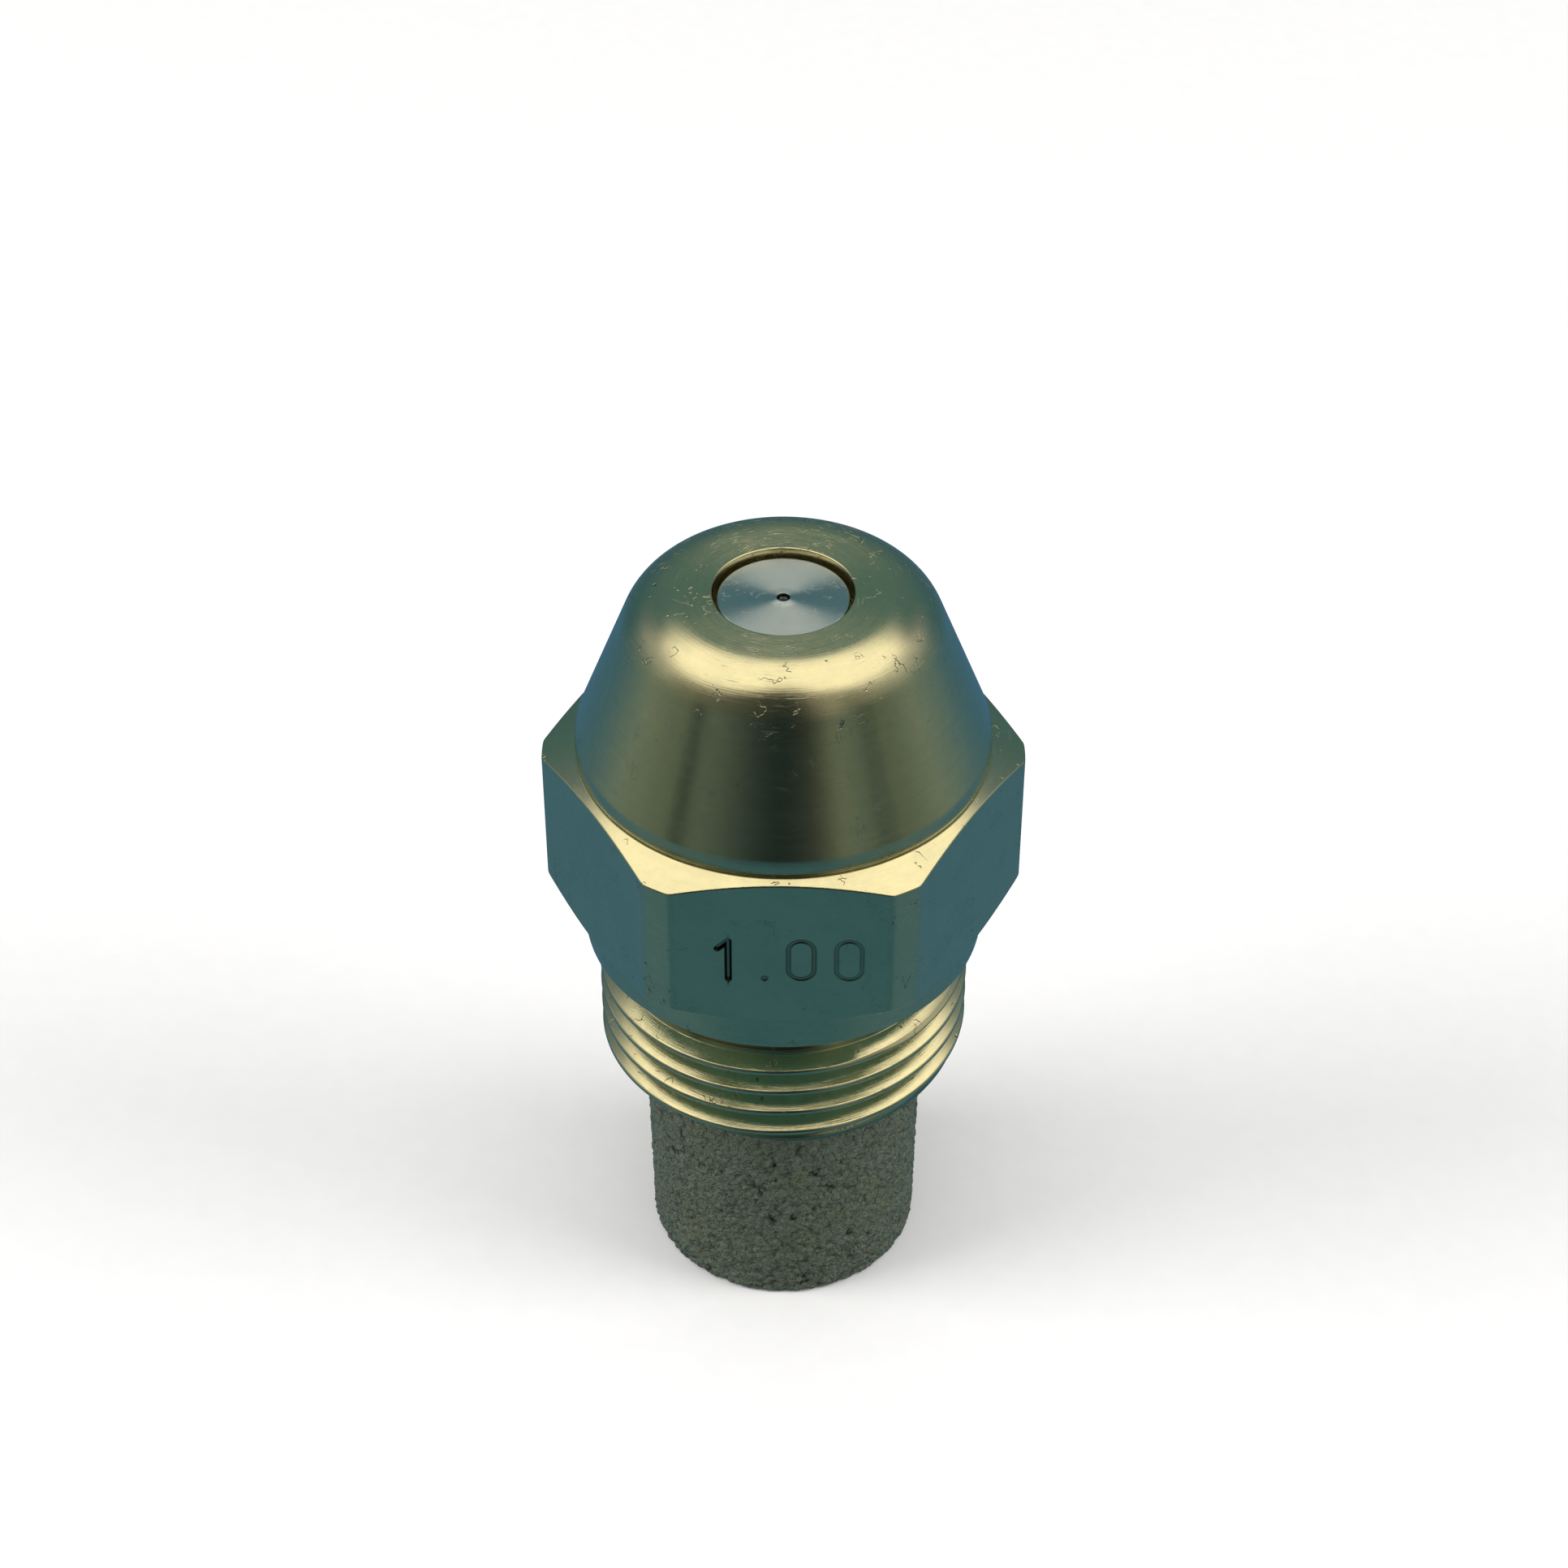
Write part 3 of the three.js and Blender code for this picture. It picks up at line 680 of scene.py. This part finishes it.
def brass(name, light, dark, roughness, anisotropy, groove_shaded=False, marks=1.0):
    """Bare brass: fine rings where it is turned, clouds of tarnish, dark pits, nicks and hairline scratches.

    marks says how strongly it is marked; the last flag darkens the stamped grooves with painted shade, read
    from a mesh attribute."""
    s = Shader(name, light, 1.0, roughness, Anisotropic=anisotropy, Anisotropic_Rotation=0.25)
    place = s.place()
    _, _, height = s.split(place)
    on_cone = s.math("MULTIPLY", s.math("GREATER_THAN", height, CLEAN_FROM),
                     s.math("LESS_THAN", height, CLEAN_TO))
    kept = s.math("SUBTRACT", 1.0, s.math("MULTIPLY", on_cone, 0.75))

    tarnish = s.band(s.noise(place, 0.55, 4.0, 0.6), 0.40, 0.70)
    streaks = s.noise(s.around_axis(place, 3.0, 9.0), 1.0, 3.0, 0.6)
    colour = s.mix(s.math("MULTIPLY", tarnish, 0.45), light, dark)
    colour = s.mix(s.math("MULTIPLY", s.band(streaks, 0.60, 0.74), 0.30 * marks), colour, dark)

    nick = s.scratches(place, (0.8, 0.65), 0.006, (1.1, 0.57, 0.61))
    cells = s.tree.nodes.new("ShaderNodeTexVoronoi")
    cells.inputs["Scale"].default_value = 1.1
    s.tree.links.new(place, cells.inputs["Vector"])
    chosen = s.math("GREATER_THAN", s.node("ShaderNodeRGBToBW", {0: cells.outputs["Color"]}), 0.58)
    pit = s.math("MULTIPLY", s.dot(cells.outputs["Distance"], 0.05, 0.10), chosen)
    flaw = s.math("MULTIPLY", s.math("MAXIMUM", nick, pit), kept)
    colour = s.mix(s.math("MULTIPLY", flaw, 0.85 * marks), colour, DIRT)

    rings = s.noise(s.around_axis(place, 1.4, 22.0), 1.0, 4.0, 0.7)
    colour = s.mix(s.math("MULTIPLY", s.band(rings, 0.42, 0.62), 0.22 * marks), colour, dark)
    mottle = s.band(s.noise(place, 2.6, 4.0, 0.65), 0.38, 0.66)
    colour = s.mix(s.math("MULTIPLY", mottle, 0.35 * marks), colour, dark)
    smear = s.band(s.noise(s.around_axis(place, 2.2, 5.0), 1.0, 5.0, 0.7), 0.40, 0.62)
    colour = s.mix(s.math("MULTIPLY", smear, 0.22 * marks), colour, dark)
    # Painted shade: the stamped grooves on the flats darken towards near black.
    if groove_shaded:
        groove_shade = s.node("ShaderNodeAttribute", attribute_name="groove_shade", attribute_type="GEOMETRY", output=2)
        colour = s.mix(groove_shade, colour, GROOVE_SHADE)
    s.set("Base Color", colour)

    dashes = s.noise(s.around_axis(place, 7.0, 24.0), 1.0, 2.0, 0.5)
    rubbed = s.band(s.noise(place, 0.5, 2.0, 0.5), 0.50, 0.60)
    dash = s.math("MULTIPLY", s.math("MULTIPLY", s.band(dashes, 0.64, 0.69), rubbed), kept)
    spread = s.math("ADD", s.scaled(streaks, 0.14, roughness - 0.07), s.math("MULTIPLY", tarnish, 0.05))
    on_thread = s.math("LESS_THAN", height, THREAD_END)
    spread = s.math("SUBTRACT", spread, s.math("MULTIPLY", on_thread, 0.05))
    s.set("Roughness", s.math("ADD", spread, s.math("MULTIPLY", dash, 0.25 * marks)))

    normal = s.bump(rings, 0.13 if anisotropy > 0.3 else 0.03, 0.00004)
    s.set("Normal", s.bump(s.math("MULTIPLY", flaw, -1.0), 0.5 * marks, 0.00003, normal))
    s.ring_tangent()
    return s.material


def steel(name, colour, roughness, anisotropy, mouth=0.0):
    """Turned stainless steel with fine rings and a few scratches.

    A ring of painted shade is drawn round the orifice at the radius mouth, in millimetres, if it is given."""
    s = Shader(name, colour, 1.0, roughness, Anisotropic=anisotropy, Anisotropic_Rotation=0.25)
    place = s.place()
    rings = s.noise(s.around_axis(place, 1.0, 30.0), 1.0, 4.0, 0.7)
    cloud = s.noise(place, 1.6, 4.0, 0.6)
    colour = s.mix(cloud, colour, tuple(c * 0.84 for c in colour))
    nick = s.scratches(place, (1.9, 0.6), 0.008, (1.7, 0.53, 0.58))
    colour = s.mix(s.math("MULTIPLY", nick, 0.35), colour, (0.25, 0.26, 0.26))
    if mouth:
        x, y, _ = s.split(place)
        from_mouth = s.math("ABSOLUTE", s.math("SUBTRACT", s.from_axis(x, y), mouth))
        # Painted shade: a dark ring round the orifice's mouth, fading out between 0.03 and 0.055 mm from it.
        unshaded_steel = s.node("ShaderNodeMapRange", {"Value": from_mouth, "From Min": 0.03, "From Max": 0.055})
        colour = s.mix(unshaded_steel, (0.03, 0.028, 0.024), colour)
    s.set("Base Color", colour)
    s.set("Roughness", s.scaled(cloud, 0.12, roughness - 0.06))
    s.set("Normal", s.bump(s.math("MULTIPLY", nick, -1.0), 0.3, 0.00002, s.bump(rings, 0.10, 0.00003)))
    s.ring_tangent()
    return s.material


def sintered_bronze(name):
    """Dull porous bronze: pores darkened with painted shade, grains of slightly different tones, and brown
    stains.

    The painted pore shade follows the mesh's grain attribute, the depth of each point in millimetres."""
    s = Shader(name, (0.17, 0.17, 0.11), 0.5, 0.5)
    place = s.place()
    grain = s.node("ShaderNodeAttribute", attribute_name="grain", attribute_type="GEOMETRY", output=2)
    unshaded_skin = s.node("ShaderNodeMapRange", {"Value": grain, "From Min": -0.12, "From Max": -0.055})
    cells = s.node("ShaderNodeTexVoronoi", {"Vector": place, "Scale": 4.6}, 1)
    tone = s.node("ShaderNodeRGBToBW", {0: cells})
    colour = s.mix(tone, (0.115, 0.14, 0.097), (0.175, 0.20, 0.137))
    stain = s.band(s.noise(place, 0.45, 3.0, 0.6), 0.48, 0.72)
    colour = s.mix(s.math("MULTIPLY", stain, 0.45), colour, (0.165, 0.16, 0.09))
    # Painted shade: points that lie deeper than the skin darken to near black.
    s.set("Base Color", s.mix(unshaded_skin, (0.03, 0.032, 0.028), colour))
    s.set("Roughness", s.ramp(unshaded_skin, [(0.0, (0.9, 0.9, 0.9)), (1.0, (0.4, 0.4, 0.4))]))
    bend = s.noise(place, 3.0, 2.0, 0.5, output=1)
    warped = s.node("ShaderNodeVectorMath", {0: place, 1: bend}, operation="ADD")
    lumps = s.node("ShaderNodeTexVoronoi", {"Vector": warped, "Scale": 3.8}, feature="SMOOTH_F1")
    grit = s.node("ShaderNodeTexVoronoi", {"Vector": warped, "Scale": 9.0})
    normal = s.bump(s.math("MULTIPLY", lumps, -1.0), 1.0, 0.00024)
    normal = s.bump(s.math("MULTIPLY", grit, -1.0), 0.5, 0.00005, normal)
    s.set("Normal", s.bump(s.noise(place, 14.0, 4.0, 0.6), 0.3, 0.00003, normal))
    return s.material


# ---- Stage, light and camera ----

# What the metal reflects, as (azimuth, colour): azimuth 0 is in front at -Y and 90 is at +X, in degrees.
# Narrow dark stops show as thin lines on the cone, and the wide dark stretch in front as its dark middle.
AT_HORIZON = [
    (-180, (0.05, 0.12, 0.18)), (-135, (0.045, 0.12, 0.18)), (-110, (0.11, 0.18, 0.22)),
    (-92, (0.17, 0.225, 0.225)), (-78, (0.14, 0.18, 0.17)), (-62, (0.10, 0.135, 0.13)),
    (-56.5, (0.08, 0.11, 0.11)), (-54, (0.0, 0.006, 0.006)), (-51.5, (0.065, 0.095, 0.10)),
    (-43, (0.09, 0.13, 0.13)), (-30, (0.06, 0.09, 0.095)), (-16, (0.026, 0.042, 0.05)),
    (0, (0.008, 0.018, 0.022)), (14, (0.026, 0.036, 0.04)), (21, (0.05, 0.062, 0.062)),
    (27, (0.10, 0.13, 0.125)), (35, (0.14, 0.18, 0.17)), (38, (0.095, 0.14, 0.14)),
    (50.5, (0.08, 0.12, 0.125)), (53.5, (0.0, 0.012, 0.012)), (56, (0.09, 0.12, 0.12)),
    (70, (0.11, 0.145, 0.14)), (88, (0.17, 0.225, 0.22)), (108, (0.13, 0.20, 0.235)),
    (135, (0.05, 0.13, 0.20)), (180, (0.05, 0.12, 0.18)),
]
BELOW = [
    (-180, (0.055, 0.155, 0.27)), (-110, (0.055, 0.145, 0.255)), (-60, (0.07, 0.155, 0.23)),
    (-25, (0.04, 0.12, 0.195)), (25, (0.04, 0.12, 0.195)), (60, (0.07, 0.155, 0.23)),
    (110, (0.055, 0.145, 0.255)), (180, (0.055, 0.155, 0.27)),
]
ABOVE = [
    (-180, (0.09, 0.17, 0.20)), (-145, (0.07, 0.15, 0.19)), (-131, (0.15, 0.20, 0.25)),
    (-116, (0.36, 0.38, 0.40)), (-90, (0.40, 0.42, 0.42)), (-70, (0.18, 0.19, 0.18)),
    (-45, (0.09, 0.10, 0.095)), (-16, (0.04, 0.05, 0.05)), (0, (0.02, 0.03, 0.035)),
    (14, (0.03, 0.04, 0.04)), (27, (0.20, 0.20, 0.19)), (36, (0.30, 0.30, 0.28)),
    (46, (0.16, 0.17, 0.16)), (70, (0.30, 0.31, 0.30)), (90, (0.48, 0.50, 0.50)),
    (116, (0.40, 0.42, 0.45)), (131, (0.16, 0.21, 0.26)), (145, (0.07, 0.15, 0.19)),
    (180, (0.09, 0.17, 0.20)),
]
# How high the overhead light begins, by azimuth, both in degrees.
LIGHT_EDGE = [
    (-180, 52), (-150, 50), (-131, 47), (-112, 40), (-90, 40), (-70, 43), (-45, 55), (-25, 65), (0, 73),
    (25, 65), (45, 54), (70, 42), (90, 38), (112, 39), (131, 47), (150, 50), (180, 52),
]
LIGHT_SOFTNESS = 10
OVERHEAD = (1.22, 1.18, 1.11)
# The elevations, in degrees, over which one set of colours turns into the next.
BELOW_TO_HORIZON = (-24, -7)
HORIZON_TO_ABOVE = (4, 30)

CAMERA_PLACE = (0.991, -97.893, 105.185)
CAMERA_TILT = 49.78
CAMERA_PAN = 0.567
FOCAL_LENGTH = 78.97
AIM = (0, 0, 0.015)


def surroundings():
    """A ball round the set, only seen as a reflection: a workbench, a dim room and a broad light above."""
    bpy.ops.mesh.primitive_uv_sphere_add(segments=96, ring_count=48, radius=0.8)
    ball = bpy.context.object
    ball.name = "surroundings"
    s = Shader("surroundings_glow", BLACK, 0.0, 1.0, Specular_IOR_Level=0.0, Emission_Strength=1.0)
    direction = s.node("ShaderNodeVectorMath", {0: s.place(1.0)}, operation="NORMALIZE")
    x, y, z = s.split(direction)
    around_once = s.math("ADD", s.math("DIVIDE", s.turn(x, y), TURN), 0.5)
    elevation = s.math("MULTIPLY", s.math("ARCSINE", z), 180 / math.pi)

    def by_azimuth(stops):
        return s.ramp(around_once, [(azimuth / 360 + 0.5, colour) for azimuth, colour in stops])

    def rise(low, high):
        return s.node("ShaderNodeMapRange", {"Value": elevation, "From Min": low, "From Max": high},
                      interpolation_type="SMOOTHSTEP")

    edge = by_azimuth([(azimuth, (degrees / 90,) * 3) for azimuth, degrees in LIGHT_EDGE])
    edge = s.math("MULTIPLY", s.node("ShaderNodeRGBToBW", {0: edge}), 90)
    low, high = s.math("SUBTRACT", edge, LIGHT_SOFTNESS), s.math("ADD", edge, LIGHT_SOFTNESS)
    colour = s.mix(rise(*BELOW_TO_HORIZON), by_azimuth(BELOW), by_azimuth(AT_HORIZON))
    colour = s.mix(rise(*HORIZON_TO_ABOVE), colour, by_azimuth(ABOVE))
    colour = s.mix(rise(low, high), colour, OVERHEAD)
    s.set("Emission Color", colour)
    s.material.cycles.emission_sampling = "NONE"
    ball.data.materials.append(s.material)
    ball.visible_camera = False
    ball.visible_diffuse = False
    ball.visible_shadow = False
    ball.visible_transmission = False
    ball.visible_volume_scatter = False


def softbox(name, place, size, power):
    """A round soft light at place, aimed at the nozzle's middle and hidden from reflections."""
    light = bpy.data.lights.new(name, "AREA")
    light.shape = "DISK"
    light.size = size
    light.energy = power
    light.color = (1.0, 0.98, 0.95)
    box = bpy.data.objects.new(name, light)
    box.location = place
    aim = Vector(AIM) - Vector(place)
    box.rotation_euler = aim.to_track_quat("-Z", "Y").to_euler()
    box.visible_glossy = False
    bpy.context.scene.collection.objects.link(box)


def studio():
    """Lights, and a floor that stays under the filter the nozzle stands on when the filter is drawn out."""
    bpy.ops.mesh.primitive_plane_add(size=6)
    floor = bpy.context.object
    floor.name = "floor"
    paper = Shader("floor_paper", (0.6, 0.6, 0.6), 0.0, 0.9)
    grain = paper.noise(paper.place(1.0), 900.0, 2.0)
    paper.set("Base Color", paper.ramp(grain, [(0.0, (0.59, 0.59, 0.59)), (1.0, (0.62, 0.62, 0.62))]))
    floor.data.materials.append(paper.material)
    floor.visible_glossy = False
    floor.location.z = -0.02 * MM
    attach(floor, "filter")

    world = bpy.data.worlds.new("studio_world")
    bpy.context.scene.world = world
    world.use_nodes = True
    world.node_tree.nodes["Background"].inputs[0].default_value = (0.95, 0.97, 1.0, 1)
    world.node_tree.nodes["Background"].inputs[1].default_value = 0.6
    world.cycles_visibility.glossy = False

    softbox("softbox_above", (0, -0.1, 0.6), 0.5, 1.5)
    softbox("softbox_left", (-0.42, -0.08, 0.28), 0.3, 2.5)
    softbox("softbox_right", (0.42, -0.08, 0.28), 0.3, 2.2)
    surroundings()


def camera():
    """The photo's viewpoint."""
    data = bpy.data.cameras.new("camera")
    data.lens = FOCAL_LENGTH
    data.sensor_width = 36
    data.clip_start = 0.005
    data.clip_end = 20
    view = bpy.data.objects.new("camera", data)
    view.location = [distance * MM for distance in CAMERA_PLACE]
    view.rotation_euler = (math.radians(CAMERA_TILT), 0, math.radians(CAMERA_PAN))
    bpy.context.scene.collection.objects.link(view)
    bpy.context.scene.camera = view


# ---- Assembly ----

def dress(piece, node, body, slot, *materials):
    """Gives a piece its materials and the body it rides on, and hides the CAD node it stands for; slot is
    not used.
    """
    for material in materials:
        piece.data.materials.append(material)
    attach(piece, body)
    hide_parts(node)


camera()
studio()
dress(nozzle_body(), "nozzle_body", "nozzle", "body_brass",
      brass("brass_turned", LIGHT_BRASS, TARNISHED_BRASS, 0.155, 0.8),
      brass("brass_flats", LIGHT_BRASS, TARNISHED_BRASS, 0.20, 0.0, groove_shaded=True, marks=0.5))
dress(orifice_disc(), "orifice_disc", "swirl_set", "disc_steel",
      steel("steel_disc", (0.80, 0.84, 0.75), 0.25, 1.0, mouth=0.2))
dress(swirl_cone(), "swirl_cone", "swirl_set", "swirl_steel",
      steel("steel_swirl", (0.55, 0.57, 0.58), 0.32, 0.4))
dress(lock_screw(), "lock_screw", "screw", "screw_brass",
      brass("brass_screw", (0.90, 0.78, 0.44), (0.70, 0.60, 0.34), 0.26, 0.6))
dress(filter_cup(), "filter_cup", "filter", "sintered_bronze", sintered_bronze("bronze_filter"))

scene = bpy.context.scene
scene.view_settings.view_transform = "Standard"
scene.view_settings.look = "None"
